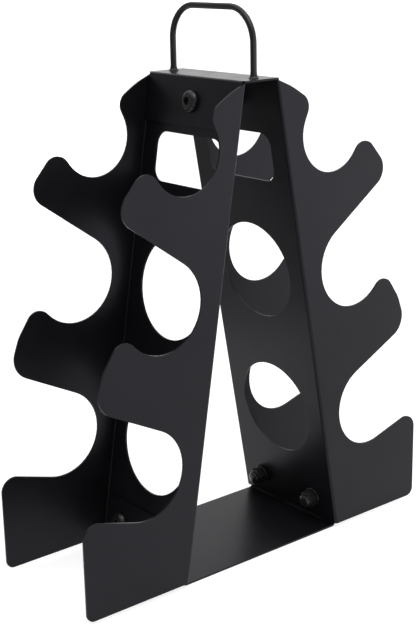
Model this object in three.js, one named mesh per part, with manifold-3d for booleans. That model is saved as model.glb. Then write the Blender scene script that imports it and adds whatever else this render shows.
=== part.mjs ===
// A-frame cradle rack: two bent sheet legs with hooked side plates, joined by a saddle cap with a
// carry handle at the top and by a bolted base plate at the bottom.
// Millimetres, +Z up, front is -Y. The origin is on the floor under the middle of the rack, but the
// pieces are drawn with z = 0 level with the feet, and the whole rack is lifted onto the floor last.
import * as THREE from "three";
import { mergeVertices } from "three/addons/utils/BufferGeometryUtils.js";
import Module from "manifold-3d";

const wasm = await Module();
wasm.setup();

// ---- driving dimensions -----------------------------------------------------------------
const SHEET = 1.5; // thickness of every bent sheet
const GAP = 0.3; // clearance between neighbouring pieces
const BEND_OUT = 2.3; // outer radius of the bends of the legs and the cap
const PLATE_BEND_OUT = 4; // the base plate is bent round a larger radius, under the ends of the webs

const DEPTH = 115.6; // front to back over the side plates
const TOP_Z = 381.6; // top face of the cap, above the feet
const FOLD_X = 79.8; // inner face of a web level with its feet, from the middle plane
const LEAN = Math.atan(0.1701); // lean of each web away from vertical
const FOOT_X = 175; // tip of a foot, from the middle plane
const FOOT_LIFT = 3.6; // the rack stands on its base plate, which holds the feet this far off the floor

// windows in each web: distances up the slope from the feet
const HOLE_R = 41;
const HOLE_UP = [96.1, 222.9];
const SLOT_UP = 322.5;
const SLOT_WIDTH = 79;
const SLOT_HEIGHT = 39;
const SLOT_R = 10.5;

// cap, base plate and the sheet flanges they fold against the webs
const CAP_FLANGE_HALF_DEPTH = 55.7; // reaches into the bends of the side plates
const PLATE_HALF_DEPTH = 53.7;
const CAP_FLANGE_UP = 349.3; // slope distance of the cap flange's lower edge
const PLATE_FLANGE_UP = 38.6; // slope distance of the base flange's upper edge
const PLATE_CORNER_R = 5;

// carry handle
const ROD_R = 2.5;
const HANDLE_HALF = 48.3; // centre of a handle leg from the middle
const HANDLE_TOP = 432.8; // centre line of the grip
const HANDLE_BEND = 26;
const WELD_R = 4.1; // foot of the flared weld
const WELD_H = 4.5;
const WELD_LIP = 0.2;

// M8 fasteners
const SHANK_R = 3.85;
const BORE_R = 4.2;
const SHEET_HOLE_R = 4.5;
const HEAD_R = 8.6;
const HEAD_EDGE_H = 0.9; // height of the head's rim under its dome
const HEAD_H = 4.6;
const SOCKET_ACROSS = 6;
const SOCKET_DEPTH = 3.2;
const NUT_ACROSS = 13;
const NUT_H = 6.5;
const DOME_R = 5.5; // closed, low crowned end of the base nuts
const DOME_RISE = 2.2;
const DOMED_NUT_H = 10.8;
const DOMED_BORE_DEPTH = 8.2;
const WASHER_R = 8;
const WASHER_H = 1.6;
const BASE_BOLT_UP = 19;
const BASE_BOLT_SIDE = 33;
const CAP_BOLT_UP = 367.5;
const SHANK_PAST_NUT = 2;
const SHANK_IN_DOME = 7.4;

// ---- solids -----------------------------------------------------------------------------
function solid(geometry) {
  const bare = geometry.index ? geometry.toNonIndexed() : geometry.clone();
  bare.deleteAttribute("normal");
  bare.deleteAttribute("uv");
  const welded = mergeVertices(bare, 1e-5);
  const mesh = new wasm.Mesh({
    numProp: 3,
    vertProperties: Float32Array.from(welded.attributes.position.array),
    triVerts: Uint32Array.from(welded.index.array),
  });
  return new wasm.Manifold(mesh);
}

function geometryOf(body) {
  const mesh = body.getMesh();
  const geometry = new THREE.BufferGeometry();
  geometry.setAttribute("position", new THREE.BufferAttribute(mesh.vertProperties, 3));
  geometry.setIndex(new THREE.BufferAttribute(mesh.triVerts, 1));
  const facets = geometry.toNonIndexed();
  facets.computeVertexNormals();
  return facets;
}

// A block between two corners.
function block(low, high) {
  const size = high.map((value, i) => value - low[i]);
  const box = new THREE.BoxGeometry(...size);
  box.translate(...low.map((value, i) => value + size[i] / 2));
  return solid(box);
}

// A side view (x, z) pushed through the depth, from -halfDepth to +halfDepth in Y.
function sideProfile(shape, halfDepth, curveSegments) {
  const options = { depth: 2 * halfDepth, bevelEnabled: false, curveSegments };
  const geometry = new THREE.ExtrudeGeometry(shape, options);
  geometry.rotateX(Math.PI / 2);
  geometry.translate(0, halfDepth, 0);
  return solid(geometry);
}

// ---- outlines ---------------------------------------------------------------------------
// Turn +1 runs clockwise round a lobe, -1 runs anticlockwise round a notch.
// The two ends of the straight line that touches one round and then the next.
function touchLine(from, to) {
  const dx = to.x - from.x;
  const dz = to.z - from.z;
  const length = Math.hypot(dx, dz);
  const along = (to.turn * to.r - from.turn * from.r) / length;
  const across = Math.sqrt(1 - along * along);
  const nx = (along * dx + across * dz) / length;
  const nz = (along * dz - across * dx) / length;
  const touch = (round) => [round.x - round.turn * round.r * nx, round.z - round.turn * round.r * nz];
  return [touch(from), touch(to)];
}

// Draws a path past a chain of rounds, each joined to the next by a straight line.
function drawRounds(path, rounds) {
  for (let i = 1; i < rounds.length - 1; i += 1) {
    const round = rounds[i];
    const arrive = touchLine(rounds[i - 1], round)[1];
    const leave = touchLine(round, rounds[i + 1])[0];
    const startAngle = Math.atan2(arrive[1] - round.z, arrive[0] - round.x);
    const endAngle = Math.atan2(leave[1] - round.z, leave[0] - round.x);
    path.lineTo(...arrive);
    path.absarc(round.x, round.z, round.r, startAngle, endAngle, round.turn > 0);
  }
  const end = rounds[rounds.length - 1];
  path.lineTo(end.x, end.z);
}

// A closed outline through corner points, each corner rounded by its own radius.
function roundedOutline(corners) {
  const shape = new THREE.Shape();
  corners.forEach(([x, z, r], i) => {
    const before = corners[(i + corners.length - 1) % corners.length];
    const after = corners[(i + 1) % corners.length];
    const corner = new THREE.Vector2(x, z);
    const back = new THREE.Vector2(before[0], before[1]).sub(corner).normalize();
    const ahead = new THREE.Vector2(after[0], after[1]).sub(corner).normalize();
    const half = Math.acos(back.dot(ahead)) / 2;
    const reach = r / Math.tan(half);
    const start = corner.clone().addScaledVector(back, reach);
    const end = corner.clone().addScaledVector(ahead, reach);
    const draw = i === 0 ? "moveTo" : "lineTo";
    shape[draw](start.x, start.y);
    if (r === 0) return;
    const centre = back.clone().add(ahead).normalize().multiplyScalar(r / Math.sin(half)).add(corner);
    const angle = (point) => Math.atan2(point.y - centre.y, point.x - centre.x);
    const clockwise = back.cross(ahead) > 0;
    shape.absarc(centre.x, centre.y, r, angle(start), angle(end), clockwise);
  });
  shape.closePath();
  return shape;
}

// ---- the leaning web --------------------------------------------------------------------
// x of a line that runs up the right web, a distance out of its inner face, at height z.
const webX = (z, out) => FOLD_X - z * Math.tan(LEAN) + out / Math.cos(LEAN);

// Places a piece drawn about +Z so that +Z points out of the right web, at a distance up the
// slope, sideways from the middle and out of the inner face. Its +X then points up the slope.
function onWeb(up, sideways, out) {
  const slope = new THREE.Vector3(-Math.sin(LEAN), 0, Math.cos(LEAN));
  const outward = new THREE.Vector3(Math.cos(LEAN), 0, Math.sin(LEAN));
  const across = new THREE.Vector3().crossVectors(outward, slope);
  const matrix = new THREE.Matrix4().makeBasis(slope, across, outward);
  const place = slope.multiplyScalar(up).addScaledVector(outward, out);
  matrix.setPosition(FOLD_X + place.x, sideways, place.z);
  return matrix;
}

function webCutter(geometry, up, sideways) {
  geometry.applyMatrix4(onWeb(up, sideways, 0));
  return solid(geometry);
}

const CUT = 12; // how far each web cutter reaches either side of the inner face

function roundCutter(radius, up, sideways, segments) {
  const geometry = new THREE.CylinderGeometry(radius, radius, 2 * CUT, segments);
  geometry.rotateX(Math.PI / 2);
  return webCutter(geometry, up, sideways);
}

function slotCutter() {
  const tall = SLOT_HEIGHT / 2;
  const wide = SLOT_WIDTH / 2;
  const corners = [
    [-tall, -wide, SLOT_R],
    [tall, -wide, SLOT_R],
    [tall, wide, SLOT_R],
    [-tall, wide, SLOT_R],
  ];
  const options = { depth: 2 * CUT, bevelEnabled: false, curveSegments: 6 };
  const geometry = new THREE.ExtrudeGeometry(roundedOutline(corners), options);
  geometry.translate(0, 0, -CUT);
  return webCutter(geometry, SLOT_UP, 0);
}

const webCutters = [
  ...HOLE_UP.map((up) => roundCutter(HOLE_R, up, 0, 72)),
  slotCutter(),
];
const baseHoles = [-1, 1].map((side) => {
  return roundCutter(SHEET_HOLE_R, BASE_BOLT_UP, side * BASE_BOLT_SIDE, 32);
});
const capHole = roundCutter(SHEET_HOLE_R, CAP_BOLT_UP, 0, 32);

// ---- legs -------------------------------------------------------------------------------
// Outer edge of a right side plate: the shoulder, three notches with two hooks between them, and
// the foot. Each round is a centre, a radius and a turn.
const SHOULDER_Z = TOP_Z - SHEET - 2 * GAP;
const plateEdge = [
  { x: 17.2, z: SHOULDER_Z, r: 0, turn: 1 },
  { x: -4.4, z: 307.2, r: 75, turn: 1 },
  { x: 36.2, z: 357.3, r: 11, turn: 1 },
  { x: 72.1, z: 335, r: 30.9, turn: -1 },
  { x: 108.5, z: 313, r: 11.5, turn: 1 },
  { x: 115.5, z: 300.5, r: 14.5, turn: 1 },
  { x: 97, z: 226, r: 35.6, turn: -1 },
  { x: 132.5, z: 195.7, r: 11, turn: 1 },
  { x: 123.5, z: 173.5, r: 31, turn: 1 },
  { x: 139, z: 170.5, r: 17.5, turn: 1 },
  { x: 118, z: 100.5, r: 35.5, turn: -1 },
  { x: FOOT_X - 11.7, z: 64.8, r: 11.7, turn: 1 },
  { x: FOOT_X - 6.7, z: 6.7, r: 6.7, turn: 1 },
  { x: FOLD_X, z: 0, r: 0, turn: 1 },
];

function legSideView() {
  const shape = new THREE.Shape();
  shape.moveTo(0, 0);
  shape.lineTo(0, SHOULDER_Z);
  shape.lineTo(plateEdge[0].x, SHOULDER_Z);
  drawRounds(shape, plateEdge);
  shape.closePath();
  return shape;
}

// Plan view of the channel, square to the web: x is out of the inner face, y is the depth.
function channelOutline() {
  const wide = DEPTH / 2;
  const reach = FOOT_X;
  return roundedOutline([
    [0, -wide, BEND_OUT],
    [reach, -wide, 0],
    [reach, -wide + SHEET, 0],
    [SHEET, -wide + SHEET, BEND_OUT - SHEET],
    [SHEET, wide - SHEET, BEND_OUT - SHEET],
    [reach, wide - SHEET, 0],
    [reach, wide, 0],
    [0, wide, BEND_OUT],
  ]);
}

function legBody() {
  const length = 460;
  const options = { depth: length, bevelEnabled: false, curveSegments: 4 };
  const channel = new THREE.ExtrudeGeometry(channelOutline(), options);
  channel.translate(0, 0, -40);
  channel.rotateY(-LEAN);
  channel.translate(FOLD_X, 0, 0);
  const side = sideProfile(legSideView(), DEPTH / 2 + 1, 12);
  let body = solid(channel).intersect(side);
  for (const cutter of [...webCutters, ...baseHoles, capHole]) body = body.subtract(cutter);
  return body;
}

// ---- cap --------------------------------------------------------------------------------
// The saddle's flanges lie against the outer faces of both webs.
const FLANGE_IN = SHEET + GAP;
const FLANGE_OUT = FLANGE_IN + SHEET;

function saddleCorners(edgeZ, faceZ, backZ, bendOut) {
  const outerEdge = webX(edgeZ, FLANGE_OUT);
  const innerEdge = webX(edgeZ, FLANGE_IN);
  const right = [
    [webX(faceZ, FLANGE_OUT), faceZ, bendOut],
    [outerEdge, edgeZ, 0],
    [innerEdge, edgeZ, 0],
    [webX(backZ, FLANGE_IN), backZ, bendOut - SHEET],
  ];
  const left = right.map(([x, z, r]) => [-x, z, r]).reverse();
  return [...right, ...left];
}

function mirrored(body) {
  return body.mirror([1, 0, 0]);
}

function capBody() {
  const edgeZ = CAP_FLANGE_UP * Math.cos(LEAN);
  const shape = roundedOutline(saddleCorners(edgeZ, TOP_Z, TOP_Z - SHEET, BEND_OUT));
  let body = sideProfile(shape, DEPTH / 2, 5);
  const topHalf = webX(TOP_Z, SHEET);
  for (const side of [-1, 1]) {
    const low = side < 0 ? -DEPTH / 2 - 1 : CAP_FLANGE_HALF_DEPTH;
    const high = side < 0 ? -CAP_FLANGE_HALF_DEPTH : DEPTH / 2 + 1;
    body = body.subtract(block([topHalf, low, edgeZ - 5], [topHalf + 30, high, TOP_Z + 1]));
    body = body.subtract(block([-topHalf - 30, low, edgeZ - 5], [-topHalf, high, TOP_Z + 1]));
  }
  return body.subtract(capHole).subtract(mirrored(capHole));
}

// ---- base plate -------------------------------------------------------------------------
// Rounded upper corners of a base flange, as a cutter that keeps the tongue shape.
function flangeTongue(endUp, cornerR) {
  const wide = PLATE_HALF_DEPTH;
  const corners = [
    [-30, -wide, 0],
    [endUp, -wide, cornerR],
    [endUp, wide, cornerR],
    [-30, wide, 0],
  ];
  const options = { depth: 30, bevelEnabled: false, curveSegments: 4 };
  const geometry = new THREE.ExtrudeGeometry(roundedOutline(corners), options);
  geometry.applyMatrix4(onWeb(0, 0, FLANGE_OUT + 1 - 30));
  return solid(geometry);
}

function plateBody() {
  const edgeZ = (PLATE_FLANGE_UP + 3) * Math.cos(LEAN);
  const corners = saddleCorners(edgeZ, -FOOT_LIFT, SHEET - FOOT_LIFT, PLATE_BEND_OUT);
  const shape = roundedOutline(corners);
  const strip = sideProfile(shape, PLATE_HALF_DEPTH, 5);
  const tongue = flangeTongue(PLATE_FLANGE_UP, PLATE_CORNER_R);
  const middle = block([-60, -60, -10], [60, 60, 10]);
  let body = strip.intersect(tongue.add(mirrored(tongue)).add(middle));
  for (const hole of baseHoles) body = body.subtract(hole).subtract(mirrored(hole));
  return body;
}

// ---- handle -----------------------------------------------------------------------------
class HandleLine extends THREE.Curve {
  constructor() {
    super();
    this.legLength = HANDLE_TOP - HANDLE_BEND - TOP_Z - GAP;
    this.bendLength = (Math.PI / 2) * HANDLE_BEND;
    this.gripLength = 2 * (HANDLE_HALF - HANDLE_BEND);
  }

  getPoint(t) {
    const total = 2 * this.legLength + 2 * this.bendLength + this.gripLength;
    const fromMiddle = Math.abs(t - 0.5) * total;
    const side = t < 0.5 ? -1 : 1;
    const pastGrip = fromMiddle - this.gripLength / 2;
    if (pastGrip <= 0) return new THREE.Vector3(0, side * fromMiddle, HANDLE_TOP);
    const centre = HANDLE_HALF - HANDLE_BEND;
    if (pastGrip < this.bendLength) {
      const angle = pastGrip / HANDLE_BEND;
      const y = centre + HANDLE_BEND * Math.sin(angle);
      const z = HANDLE_TOP - HANDLE_BEND * (1 - Math.cos(angle));
      return new THREE.Vector3(0, side * y, z);
    }
    const down = pastGrip - this.bendLength;
    return new THREE.Vector3(0, side * HANDLE_HALF, HANDLE_TOP - HANDLE_BEND - down);
  }
}

// Flared weld at a handle foot: a concave fillet from the cap up to the rod.
function weldFlare(side) {
  const profile = [new THREE.Vector2(0, 0)];
  const steps = 6;
  const flare = WELD_R - ROD_R - 0.02;
  profile.push(new THREE.Vector2(WELD_R, 0));
  for (let i = 0; i <= steps; i += 1) {
    const angle = (i / steps) * (Math.PI / 2);
    const r = WELD_R - flare * Math.sin(angle);
    profile.push(new THREE.Vector2(r, WELD_LIP + WELD_H * (1 - Math.cos(angle))));
  }
  profile.push(new THREE.Vector2(0, WELD_LIP + WELD_H));
  const geometry = new THREE.LatheGeometry(profile, 24);
  geometry.rotateX(Math.PI / 2);
  geometry.translate(0, side * HANDLE_HALF, TOP_Z + GAP);
  return solid(geometry);
}

function handleBody() {
  const section = new THREE.Shape();
  section.absarc(0, 0, ROD_R, 0, 2 * Math.PI, false);
  const options = { steps: 60, extrudePath: new HandleLine(), bevelEnabled: false, curveSegments: 9 };
  const rod = solid(new THREE.ExtrudeGeometry(section, options));
  return rod.add(weldFlare(-1)).add(weldFlare(1));
}

// ---- fasteners --------------------------------------------------------------------------
function turned(points, segments) {
  const profile = points.map(([r, z]) => new THREE.Vector2(r, z));
  const geometry = new THREE.LatheGeometry(profile, segments);
  geometry.rotateX(Math.PI / 2);
  return solid(geometry);
}

function hexPrism(across, low, high) {
  const radius = across / Math.sqrt(3);
  const geometry = new THREE.CylinderGeometry(radius, radius, high - low, 6);
  geometry.rotateX(Math.PI / 2);
  geometry.translate(0, 0, (low + high) / 2);
  return solid(geometry);
}

// Button head with a hex socket: the seat is at z = 0 and the shank runs down -Z.
function boltBody(shankLength) {
  const chamfer = 0.8;
  const profile = [
    [0, -shankLength],
    [SHANK_R - chamfer, -shankLength],
    [SHANK_R, -shankLength + chamfer],
    [SHANK_R, 0],
    [HEAD_R - HEAD_EDGE_H / 2, 0],
    [HEAD_R, HEAD_EDGE_H / 2],
    [HEAD_R, HEAD_EDGE_H],
  ];
  const domeSteps = 5;
  const crownR = HEAD_R * 0.5;
  for (let i = 1; i <= domeSteps; i += 1) {
    const angle = (i / domeSteps) * (Math.PI / 2);
    const r = crownR + (HEAD_R - crownR) * Math.cos(angle);
    const z = HEAD_EDGE_H + (HEAD_H - HEAD_EDGE_H) * Math.sin(angle);
    profile.push([r, z]);
  }
  profile.push([0, HEAD_H]);
  const socket = hexPrism(SOCKET_ACROSS, HEAD_H - SOCKET_DEPTH, HEAD_H + 1);
  return turned(profile, 28).subtract(socket);
}

// Hex blank with both rims chamfered: it stands from z = 0 up to the nut's height.
function hexBlank() {
  const cornerR = NUT_ACROSS / Math.sqrt(3) + 0.1;
  const rim = NUT_ACROSS / 2 - 0.2;
  const rise = (cornerR - rim) * Math.tan(Math.PI / 6);
  const blank = [
    [0, 0],
    [rim, 0],
    [cornerR, rise],
    [cornerR, NUT_H - rise],
    [rim, NUT_H],
    [0, NUT_H],
  ];
  return turned(blank, 36).intersect(hexPrism(NUT_ACROSS, -1, NUT_H + 1));
}

function nutBody() {
  const bore = new THREE.CylinderGeometry(BORE_R, BORE_R, 3 * NUT_H, 24);
  bore.rotateX(Math.PI / 2);
  return hexBlank().subtract(solid(bore));
}

// Cap nut: a hex foot under a closed, low dome, with a blind bore from its foot.
function domedNutBody() {
  const edge = DOMED_NUT_H - DOME_RISE;
  const dome = [
    [0, 0],
    [DOME_R, 0],
    [DOME_R, edge],
  ];
  const steps = 6;
  for (let i = 1; i < steps; i += 1) {
    const angle = (i / steps) * (Math.PI / 2);
    dome.push([DOME_R * Math.cos(angle), edge + DOME_RISE * Math.sin(angle)]);
  }
  dome.push([0, DOMED_NUT_H]);
  const bore = new THREE.CylinderGeometry(BORE_R, BORE_R, 2 * DOMED_BORE_DEPTH, 24);
  bore.rotateX(Math.PI / 2);
  return hexBlank().add(turned(dome, 28)).subtract(solid(bore));
}

function washerBody() {
  const edge = 0.25;
  return turned(
    [
      [BORE_R, 0],
      [WASHER_R, 0],
      [WASHER_R, WASHER_H - edge],
      [WASHER_R - edge, WASHER_H],
      [BORE_R, WASHER_H],
      [BORE_R, 0],
    ],
    30,
  );
}

// ---- assembly ---------------------------------------------------------------------------
const coat = new THREE.MeshStandardMaterial({ color: 0x2b2a2e, roughness: 0.55, metalness: 0.1 });
const plating = new THREE.MeshStandardMaterial({ color: 0x1b1b1d, roughness: 0.3, metalness: 0.8 });
const rack = new THREE.Group();
rack.name = "cradle_rack";

function addPiece(name, geometry, material) {
  const mesh = new THREE.Mesh(geometry, material);
  mesh.name = name;
  rack.add(mesh);
}

// The left side is the right side turned half a turn about +Z.
function addSidePiece(sideName, name, geometry, material) {
  const placed = geometry.clone();
  if (sideName === "left") placed.rotateZ(Math.PI);
  addPiece(name, placed, material);
}

const SEAT = FLANGE_OUT + GAP; // head seat, out of the web's inner face
const NUT_SEAT = -2 * GAP - WASHER_H; // nut seat, behind its washer
const leg = geometryOf(legBody());
const washer = geometryOf(washerBody());
const capBolt = geometryOf(boltBody(SEAT - NUT_SEAT + NUT_H + SHANK_PAST_NUT));
const capNut = geometryOf(nutBody());
const baseBolt = geometryOf(boltBody(SEAT - NUT_SEAT + SHANK_IN_DOME));
const baseNut = geometryOf(domedNutBody());

// Fits a bolt, a washer and a nut through one web hole.
function addFastener(sideName, place, up, sideways, bolt, nut) {
  const inward = new THREE.Matrix4().makeRotationX(Math.PI);
  const twist = new THREE.Matrix4().makeRotationZ(Math.PI / 12);
  const stack = [
    ["bolt", bolt, SEAT, null],
    ["washer", washer, -GAP, inward],
    ["nut", nut, NUT_SEAT, inward],
  ];
  for (const [kind, geometry, out, turn] of stack) {
    const matrix = onWeb(up, sideways, out);
    if (turn) matrix.multiply(turn);
    matrix.multiply(twist);
    const placed = geometry.clone().applyMatrix4(matrix);
    addSidePiece(sideName, `${sideName}_${place}_${kind}`, placed, plating);
  }
}

addSidePiece("left", "left_leg", leg, coat);
addSidePiece("right", "right_leg", leg, coat);
addPiece("top_cap", geometryOf(capBody()), coat);
addPiece("base_plate", geometryOf(plateBody()), coat);
addPiece("carry_handle", geometryOf(handleBody()), coat);
for (const sideName of ["left", "right"]) {
  const front = sideName === "left" ? BASE_BOLT_SIDE : -BASE_BOLT_SIDE;
  addFastener(sideName, "top", CAP_BOLT_UP, 0, capBolt, capNut);
  addFastener(sideName, "front", BASE_BOLT_UP, front, baseBolt, baseNut);
  addFastener(sideName, "rear", BASE_BOLT_UP, -front, baseBolt, baseNut);
}
rack.position.z = FOOT_LIFT;

export default rack;
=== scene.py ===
"""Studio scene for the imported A-frame cradle rack.

Powder-coated sheets and wire, black plated fasteners, a white lit floor and a pale studio.
"""

import math

import bpy
from mathutils import Matrix, Vector

MM = 0.001

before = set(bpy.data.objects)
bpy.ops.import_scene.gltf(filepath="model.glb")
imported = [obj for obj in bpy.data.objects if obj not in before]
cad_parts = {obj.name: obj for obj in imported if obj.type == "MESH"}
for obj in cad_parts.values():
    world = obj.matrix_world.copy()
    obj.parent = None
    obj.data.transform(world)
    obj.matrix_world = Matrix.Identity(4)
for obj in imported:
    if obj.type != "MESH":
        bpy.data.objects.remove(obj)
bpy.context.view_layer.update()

# ---- the object's own sizes that the looks follow -------------------------------------------
LEAN = math.atan(0.1701)          # lean of each web away from vertical
FOLD_X = 79.8 * MM                # inner face of a web level with its feet
FOOT_LIFT = 3.6 * MM              # the feet stand this far above the floor
HEAD_SEAT = 3.6 * MM              # where a screw head sits, out of a web's inner face
THREAD_PITCH = 1.25 * MM
THREAD_DEPTH = 0.25 * MM

# ---- powder coat on the sheets --------------------------------------------------------------
COAT_DARK = (0.0030, 0.0029, 0.0036)
COAT_LIGHT = (0.0046, 0.0045, 0.0054)
COAT_TONE_SIZE = 45 * MM          # slow changes in tone
COAT_ROUGH = (0.30, 0.36)
COAT_SHEEN_SIZE = 18 * MM         # slow changes in sheen
COAT_IOR = 1.28                   # low, for a coat with little gloss
COAT_TINT = (0.87, 0.84, 1.0, 1.0)
PEEL_SIZE = 1.6 * MM              # orange peel
PEEL_DEPTH = 0.012 * MM
GRIT_SIZE = 0.35 * MM
GRIT_DEPTH = 0.006 * MM

# ---- the same coat on the wire --------------------------------------------------------------
WIRE_TONE_SIZE = 20 * MM
WIRE_ROUGH = (0.30, 0.38)
WIRE_SHEEN_SIZE = 8 * MM
WIRE_IOR = 1.38
WIRE_PEEL_SIZE = 1.4 * MM
WIRE_PEEL_DEPTH = 0.015 * MM

# ---- black plated steel ---------------------------------------------------------------------
STEEL_DARK = (0.008, 0.008, 0.009)
STEEL_LIGHT = (0.015, 0.0145, 0.015)
STEEL_TONE_SIZE = 4 * MM
STEEL_ROUGH = (0.20, 0.32)
STEEL_WEAR_SIZE = 1.2 * MM
STEEL_METALLIC = 0.25
STEEL_IOR = 1.42
STEEL_RIPPLE_SIZE = 0.5 * MM
STEEL_RIPPLE_DEPTH = 0.006 * MM

# ---- floor ----------------------------------------------------------------------------------
FLOOR_TONE = (0.42, 0.44)
FLOOR_TONE_SIZE = 0.6
FLOOR_ROUGH = 0.9
FLOOR_IOR = 1.3
FLOOR_GLOW = 0.66                 # a lit table, which keeps the contact shadows faint
FLOOR_DROP = 0.4 * MM             # below the rack's underside
FLOOR_LEFT = 0.27                 # narrow, so that the webs also mirror the dim left of the studio
FLOOR_RIGHT = 0.9
FLOOR_BACK = 8.0
FLOOR_FRONT = 1.6

# ---- edges ----------------------------------------------------------------------------------
EDGE_ROUND = 0.35 * MM            # the paint rounds every cut edge
FASTENER_ROUND = 0.18 * MM
ROUND_SEGMENTS = 2
SHARP_ANGLE = math.radians(32)
FLAT_ANGLE = math.radians(0.4)
WELD_DISTANCE = 0.002 * MM
SHADING_WEIGHT = 90

# ---- studio light ---------------------------------------------------------------------------
BRIGHT_WAY = (0.98, -0.20, 0.0)   # the wall is brightest this way and dimmest the other way
WALL_FROM = -0.75                 # it brightens between these cosines off BRIGHT_WAY
WALL_TO = 0.28
WALL_DIM = 0.45
WALL_BRIGHT = 1.85
BAND_FROM = 0.08                  # and fades upwards between these heights of the view direction
BAND_TO = 0.40
BAND_DIM = 0.46
CEILING_FROM = 0.45               # where the ceiling's own light takes over
CEILING_TO = 0.75
CEILING = 1.6
OVERHEAD_PLACE = (-0.05, -0.55, 1.7)
OVERHEAD_AIM = (-0.05, -0.15, 0.0)
OVERHEAD_SIZE = 0.9
OVERHEAD_POWER = 9.0

# ---- camera ---------------------------------------------------------------------------------
CAMERA_PLACE = (-0.6301, -0.7715, 0.4828)
CAMERA_YAW = math.radians(38.833)
CAMERA_PITCH = math.radians(16.086)
CAMERA_ROLL = math.radians(1.184)
CAMERA_LENS = 74.036
CAMERA_SENSOR = 36.0
CAMERA_CLIP = 0.05


# ---- materials ------------------------------------------------------------------------------
def new_material(name):
    """A node material, returned with its nodes, links, shader and object coordinates."""
    material = bpy.data.materials.new(name)
    material.use_nodes = True
    nodes = material.node_tree.nodes
    place = nodes.new("ShaderNodeTexCoord")
    return material, nodes, material.node_tree.links, nodes["Principled BSDF"], place.outputs["Object"]


def noise(nodes, links, place, size, detail):
    """A noise texture whose features are about `size` metres across."""
    texture = nodes.new("ShaderNodeTexNoise")
    texture.inputs["Scale"].default_value = 1.0 / size
    texture.inputs["Detail"].default_value = detail
    texture.inputs["Roughness"].default_value = 0.5
    links.new(place, texture.inputs["Vector"])
    return texture.outputs["Fac"]


def ramp(nodes, links, value, low, high):
    """Maps a noise value onto a pair of colours, over the middle of the noise's range."""
    mapper = nodes.new("ShaderNodeValToRGB")
    mapper.color_ramp.elements[0].position = 0.3
    mapper.color_ramp.elements[1].position = 0.7
    mapper.color_ramp.elements[0].color = (*low, 1.0)
    mapper.color_ramp.elements[1].color = (*high, 1.0)
    links.new(value, mapper.inputs["Fac"])
    return mapper.outputs["Color"]


def grey_ramp(nodes, links, value, span):
    """Maps a noise value onto a pair of greys."""
    low, high = span
    return ramp(nodes, links, value, (low, low, low), (high, high, high))


def bump(nodes, links, height, depth, under=None):
    """Raises the surface by `depth` metres where the height is 1."""
    node = nodes.new("ShaderNodeBump")
    node.inputs["Distance"].default_value = depth
    node.inputs["Strength"].default_value = 1.0
    links.new(height, node.inputs["Height"])
    if under is not None:
        links.new(under, node.inputs["Normal"])
    return node.outputs["Normal"]


def powder_coat():
    """Satin black powder coat: orange-peel ripple, fine grit and slow changes in tone and sheen."""
    material, nodes, links, shader, place = new_material("powder_coat_black")
    tone = noise(nodes, links, place, COAT_TONE_SIZE, 3.0)
    links.new(ramp(nodes, links, tone, COAT_DARK, COAT_LIGHT), shader.inputs["Base Color"])
    sheen = noise(nodes, links, place, COAT_SHEEN_SIZE, 4.0)
    links.new(grey_ramp(nodes, links, sheen, COAT_ROUGH), shader.inputs["Roughness"])
    peel = bump(nodes, links, noise(nodes, links, place, PEEL_SIZE, 1.0), PEEL_DEPTH)
    grit = bump(nodes, links, noise(nodes, links, place, GRIT_SIZE, 2.0), GRIT_DEPTH, under=peel)
    links.new(grit, shader.inputs["Normal"])
    shader.inputs["IOR"].default_value = COAT_IOR
    shader.inputs["Specular Tint"].default_value = COAT_TINT
    return material


def wire_coat():
    """The same coat on the wire, a little glossier and without the grit."""
    material, nodes, links, shader, place = new_material("powder_coat_wire")
    tone = noise(nodes, links, place, WIRE_TONE_SIZE, 3.0)
    links.new(ramp(nodes, links, tone, COAT_DARK, COAT_LIGHT), shader.inputs["Base Color"])
    sheen = noise(nodes, links, place, WIRE_SHEEN_SIZE, 3.0)
    links.new(grey_ramp(nodes, links, sheen, WIRE_ROUGH), shader.inputs["Roughness"])
    peel = bump(nodes, links, noise(nodes, links, place, WIRE_PEEL_SIZE, 1.0), WIRE_PEEL_DEPTH)
    links.new(peel, shader.inputs["Normal"])
    shader.inputs["IOR"].default_value = WIRE_IOR
    return material


def black_steel(name, threaded_side=None):
    """Black plated steel. With a side (-1 left, 1 right) it is a screw, whose shank shows its thread."""
    material, nodes, links, shader, place = new_material(name)
    tone = noise(nodes, links, place, STEEL_TONE_SIZE, 3.0)
    links.new(ramp(nodes, links, tone, STEEL_DARK, STEEL_LIGHT), shader.inputs["Base Color"])
    wear = noise(nodes, links, place, STEEL_WEAR_SIZE, 4.0)
    links.new(grey_ramp(nodes, links, wear, STEEL_ROUGH), shader.inputs["Roughness"])
    shader.inputs["Metallic"].default_value = STEEL_METALLIC
    shader.inputs["IOR"].default_value = STEEL_IOR
    ripple = noise(nodes, links, place, STEEL_RIPPLE_SIZE, 2.0)
    normal = bump(nodes, links, ripple, STEEL_RIPPLE_DEPTH)
    if threaded_side is not None:
        normal = thread_bump(nodes, links, place, threaded_side, normal)
    links.new(normal, shader.inputs["Normal"])
    return material


def calculate(nodes, links, operation, first, second=None):
    """A maths node. The second value may be a socket or a number."""
    node = nodes.new("ShaderNodeMath")
    node.operation = operation
    links.new(first, node.inputs[0])
    if isinstance(second, float):
        node.inputs[1].default_value = second
    elif second is not None:
        links.new(second, node.inputs[1])
    return node.outputs["Value"]


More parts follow.
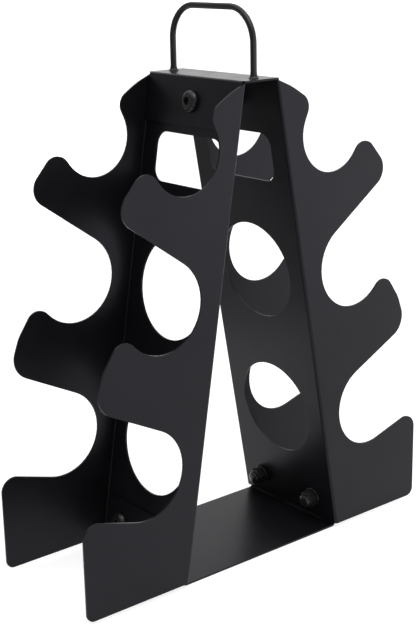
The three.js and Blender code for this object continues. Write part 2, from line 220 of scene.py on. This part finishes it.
def thread_bump(nodes, links, place, side, under):
    """Rings along a screw's axis, only between its tip and the seat of its head."""
    along = nodes.new("ShaderNodeVectorMath")
    along.operation = "DOT_PRODUCT"
    along.inputs[1].default_value = (side * math.cos(LEAN), 0.0, math.sin(LEAN))
    links.new(place, along.inputs[0])
    distance = along.outputs["Value"]
    seat = FOLD_X * math.cos(LEAN) + FOOT_LIFT * math.sin(LEAN) + HEAD_SEAT
    turns = calculate(nodes, links, "MULTIPLY", distance, 2 * math.pi / THREAD_PITCH)
    rings = calculate(nodes, links, "SINE", turns)
    shank = calculate(nodes, links, "LESS_THAN", distance, seat)
    rings_on_shank = calculate(nodes, links, "MULTIPLY", rings, shank)
    return bump(nodes, links, rings_on_shank, THREAD_DEPTH, under=under)


def floor_white():
    """Matt white that glows a little."""
    material, nodes, links, shader, place = new_material("studio_floor")
    tone = noise(nodes, links, place, FLOOR_TONE_SIZE, 2.0)
    links.new(grey_ramp(nodes, links, tone, FLOOR_TONE), shader.inputs["Base Color"])
    shader.inputs["Roughness"].default_value = FLOOR_ROUGH
    shader.inputs["IOR"].default_value = FLOOR_IOR
    shader.inputs["Emission Color"].default_value = (1.0, 1.0, 1.0, 1.0)
    shader.inputs["Emission Strength"].default_value = FLOOR_GLOW
    return material


# ---- painted edges and smooth bends on the carried-over nodes ---------------------------------
def finish_edges(node, width):
    """Flat sheets stay flat, bends shade smoothly and every cut edge gets a small round."""
    for face in node.data.polygons:
        face.use_smooth = True
    weld = node.modifiers.new("weld", "WELD")
    weld.merge_threshold = WELD_DISTANCE
    planar = node.modifiers.new("planar", "DECIMATE")
    planar.decimate_type = "DISSOLVE"
    planar.angle_limit = FLAT_ANGLE
    rounding = node.modifiers.new("edge_round", "BEVEL")
    rounding.width = width
    rounding.segments = ROUND_SEGMENTS
    rounding.limit_method = "ANGLE"
    rounding.angle_limit = SHARP_ANGLE
    rounding.use_clamp_overlap = True
    rounding.miter_outer = "MITER_ARC"
    shading = node.modifiers.new("shading", "WEIGHTED_NORMAL")
    shading.keep_sharp = False
    shading.weight = SHADING_WEIGHT


def dress(name, material, width):
    """Gives one node its material and its finished edges."""
    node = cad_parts[name]
    node.data.materials.clear()
    node.data.materials.append(material)
    finish_edges(node, width)


def dress_rack():
    coat = powder_coat()
    for name in ("left_leg", "right_leg", "top_cap", "base_plate"):
        dress(name, coat, EDGE_ROUND)
    dress("carry_handle", wire_coat(), FASTENER_ROUND)
    for side_name, side in (("left", -1.0), ("right", 1.0)):
        screw_steel = black_steel(f"black_steel_thread_{side_name}", side)
        plain_steel = black_steel(f"black_steel_{side_name}")
        for place in ("top", "front", "rear"):
            dress(f"{side_name}_{place}_bolt", screw_steel, FASTENER_ROUND)
            dress(f"{side_name}_{place}_washer", plain_steel, FASTENER_ROUND)
            dress(f"{side_name}_{place}_nut", plain_steel, FASTENER_ROUND)


# ---- studio -----------------------------------------------------------------------------------
def add_floor():
    """A white strip under the rack that runs straight away from the camera."""
    ahead = Vector((math.sin(CAMERA_YAW), math.cos(CAMERA_YAW), 0.0))
    beside = Vector((math.cos(CAMERA_YAW), -math.sin(CAMERA_YAW), 0.0))
    corners = [
        ahead * along + beside * across - Vector((0.0, 0.0, FLOOR_DROP))
        for along, across in (
            (-FLOOR_FRONT, -FLOOR_LEFT),
            (-FLOOR_FRONT, FLOOR_RIGHT),
            (FLOOR_BACK, FLOOR_RIGHT),
            (FLOOR_BACK, -FLOOR_LEFT),
        )
    ]
    mesh = bpy.data.meshes.new("studio_floor")
    mesh.from_pydata(corners, [], [(0, 1, 2, 3)])
    floor = bpy.data.objects.new("studio_floor", mesh)
    floor.data.materials.append(floor_white())
    bpy.context.scene.collection.objects.link(floor)


def add_overhead():
    """One square softbox above the front of the rack."""
    light = bpy.data.lights.new("overhead", "AREA")
    light.shape = "RECTANGLE"
    light.size = OVERHEAD_SIZE
    light.size_y = OVERHEAD_SIZE
    light.energy = OVERHEAD_POWER
    lamp = bpy.data.objects.new("overhead", light)
    lamp.location = OVERHEAD_PLACE
    aim = Vector(OVERHEAD_AIM) - Vector(OVERHEAD_PLACE)
    lamp.rotation_euler = aim.to_track_quat("-Z", "Y").to_euler()
    bpy.context.scene.collection.objects.link(lamp)


def fade(nodes, links, value, start, end, low=0.0, high=1.0):
    """A smooth change from `low` to `high` as the value goes from `start` to `end`."""
    node = nodes.new("ShaderNodeMapRange")
    node.interpolation_type = "SMOOTHSTEP"
    node.inputs["From Min"].default_value = start
    node.inputs["From Max"].default_value = end
    node.inputs["To Min"].default_value = low
    node.inputs["To Max"].default_value = high
    links.new(value, node.inputs["Value"])
    return node.outputs["Result"]


def add_world():
    """A pale studio: bright to the right and overhead, dim to the left, its wall dimmer higher up."""
    world = bpy.data.worlds.new("studio_dome")
    world.use_nodes = True
    nodes = world.node_tree.nodes
    links = world.node_tree.links
    way = nodes.new("ShaderNodeTexCoord").outputs["Generated"]
    towards = nodes.new("ShaderNodeVectorMath")
    towards.operation = "DOT_PRODUCT"
    towards.inputs[1].default_value = BRIGHT_WAY
    links.new(way, towards.inputs[0])
    split = nodes.new("ShaderNodeSeparateXYZ")
    links.new(way, split.inputs["Vector"])
    height = split.outputs["Z"]
    wall = fade(nodes, links, towards.outputs["Value"], WALL_FROM, WALL_TO, WALL_DIM, WALL_BRIGHT)
    band = fade(nodes, links, height, BAND_FROM, BAND_TO, 1.0, BAND_DIM)
    level = nodes.new("ShaderNodeMix")
    level.data_type = "FLOAT"
    links.new(fade(nodes, links, height, CEILING_FROM, CEILING_TO), level.inputs["Factor"])
    links.new(calculate(nodes, links, "MULTIPLY", wall, band), level.inputs["A"])
    level.inputs["B"].default_value = CEILING
    links.new(level.outputs["Result"], nodes["Background"].inputs["Strength"])
    nodes["Background"].inputs["Color"].default_value = (1.0, 1.0, 1.0, 1.0)
    bpy.context.scene.world = world


def add_camera():
    """The photographer's place: front left, looking down on the rack, with a slight roll."""
    level_right = Vector((math.cos(CAMERA_YAW), -math.sin(CAMERA_YAW), 0.0))
    ahead = Vector(
        (
            math.sin(CAMERA_YAW) * math.cos(CAMERA_PITCH),
            math.cos(CAMERA_YAW) * math.cos(CAMERA_PITCH),
            -math.sin(CAMERA_PITCH),
        )
    )
    level_down = ahead.cross(level_right)
    right = math.cos(CAMERA_ROLL) * level_right + math.sin(CAMERA_ROLL) * level_down
    up = math.sin(CAMERA_ROLL) * level_right - math.cos(CAMERA_ROLL) * level_down
    data = bpy.data.cameras.new("camera")
    data.lens = CAMERA_LENS
    data.sensor_width = CAMERA_SENSOR
    data.clip_start = CAMERA_CLIP
    camera = bpy.data.objects.new("camera", data)
    turn = Matrix((right, up, -ahead)).transposed().to_4x4()
    camera.matrix_world = Matrix.Translation(CAMERA_PLACE) @ turn
    bpy.context.scene.collection.objects.link(camera)
    bpy.context.scene.camera = camera


dress_rack()
add_floor()
add_world()
add_overhead()
add_camera()
bpy.context.scene.view_settings.view_transform = "Standard"
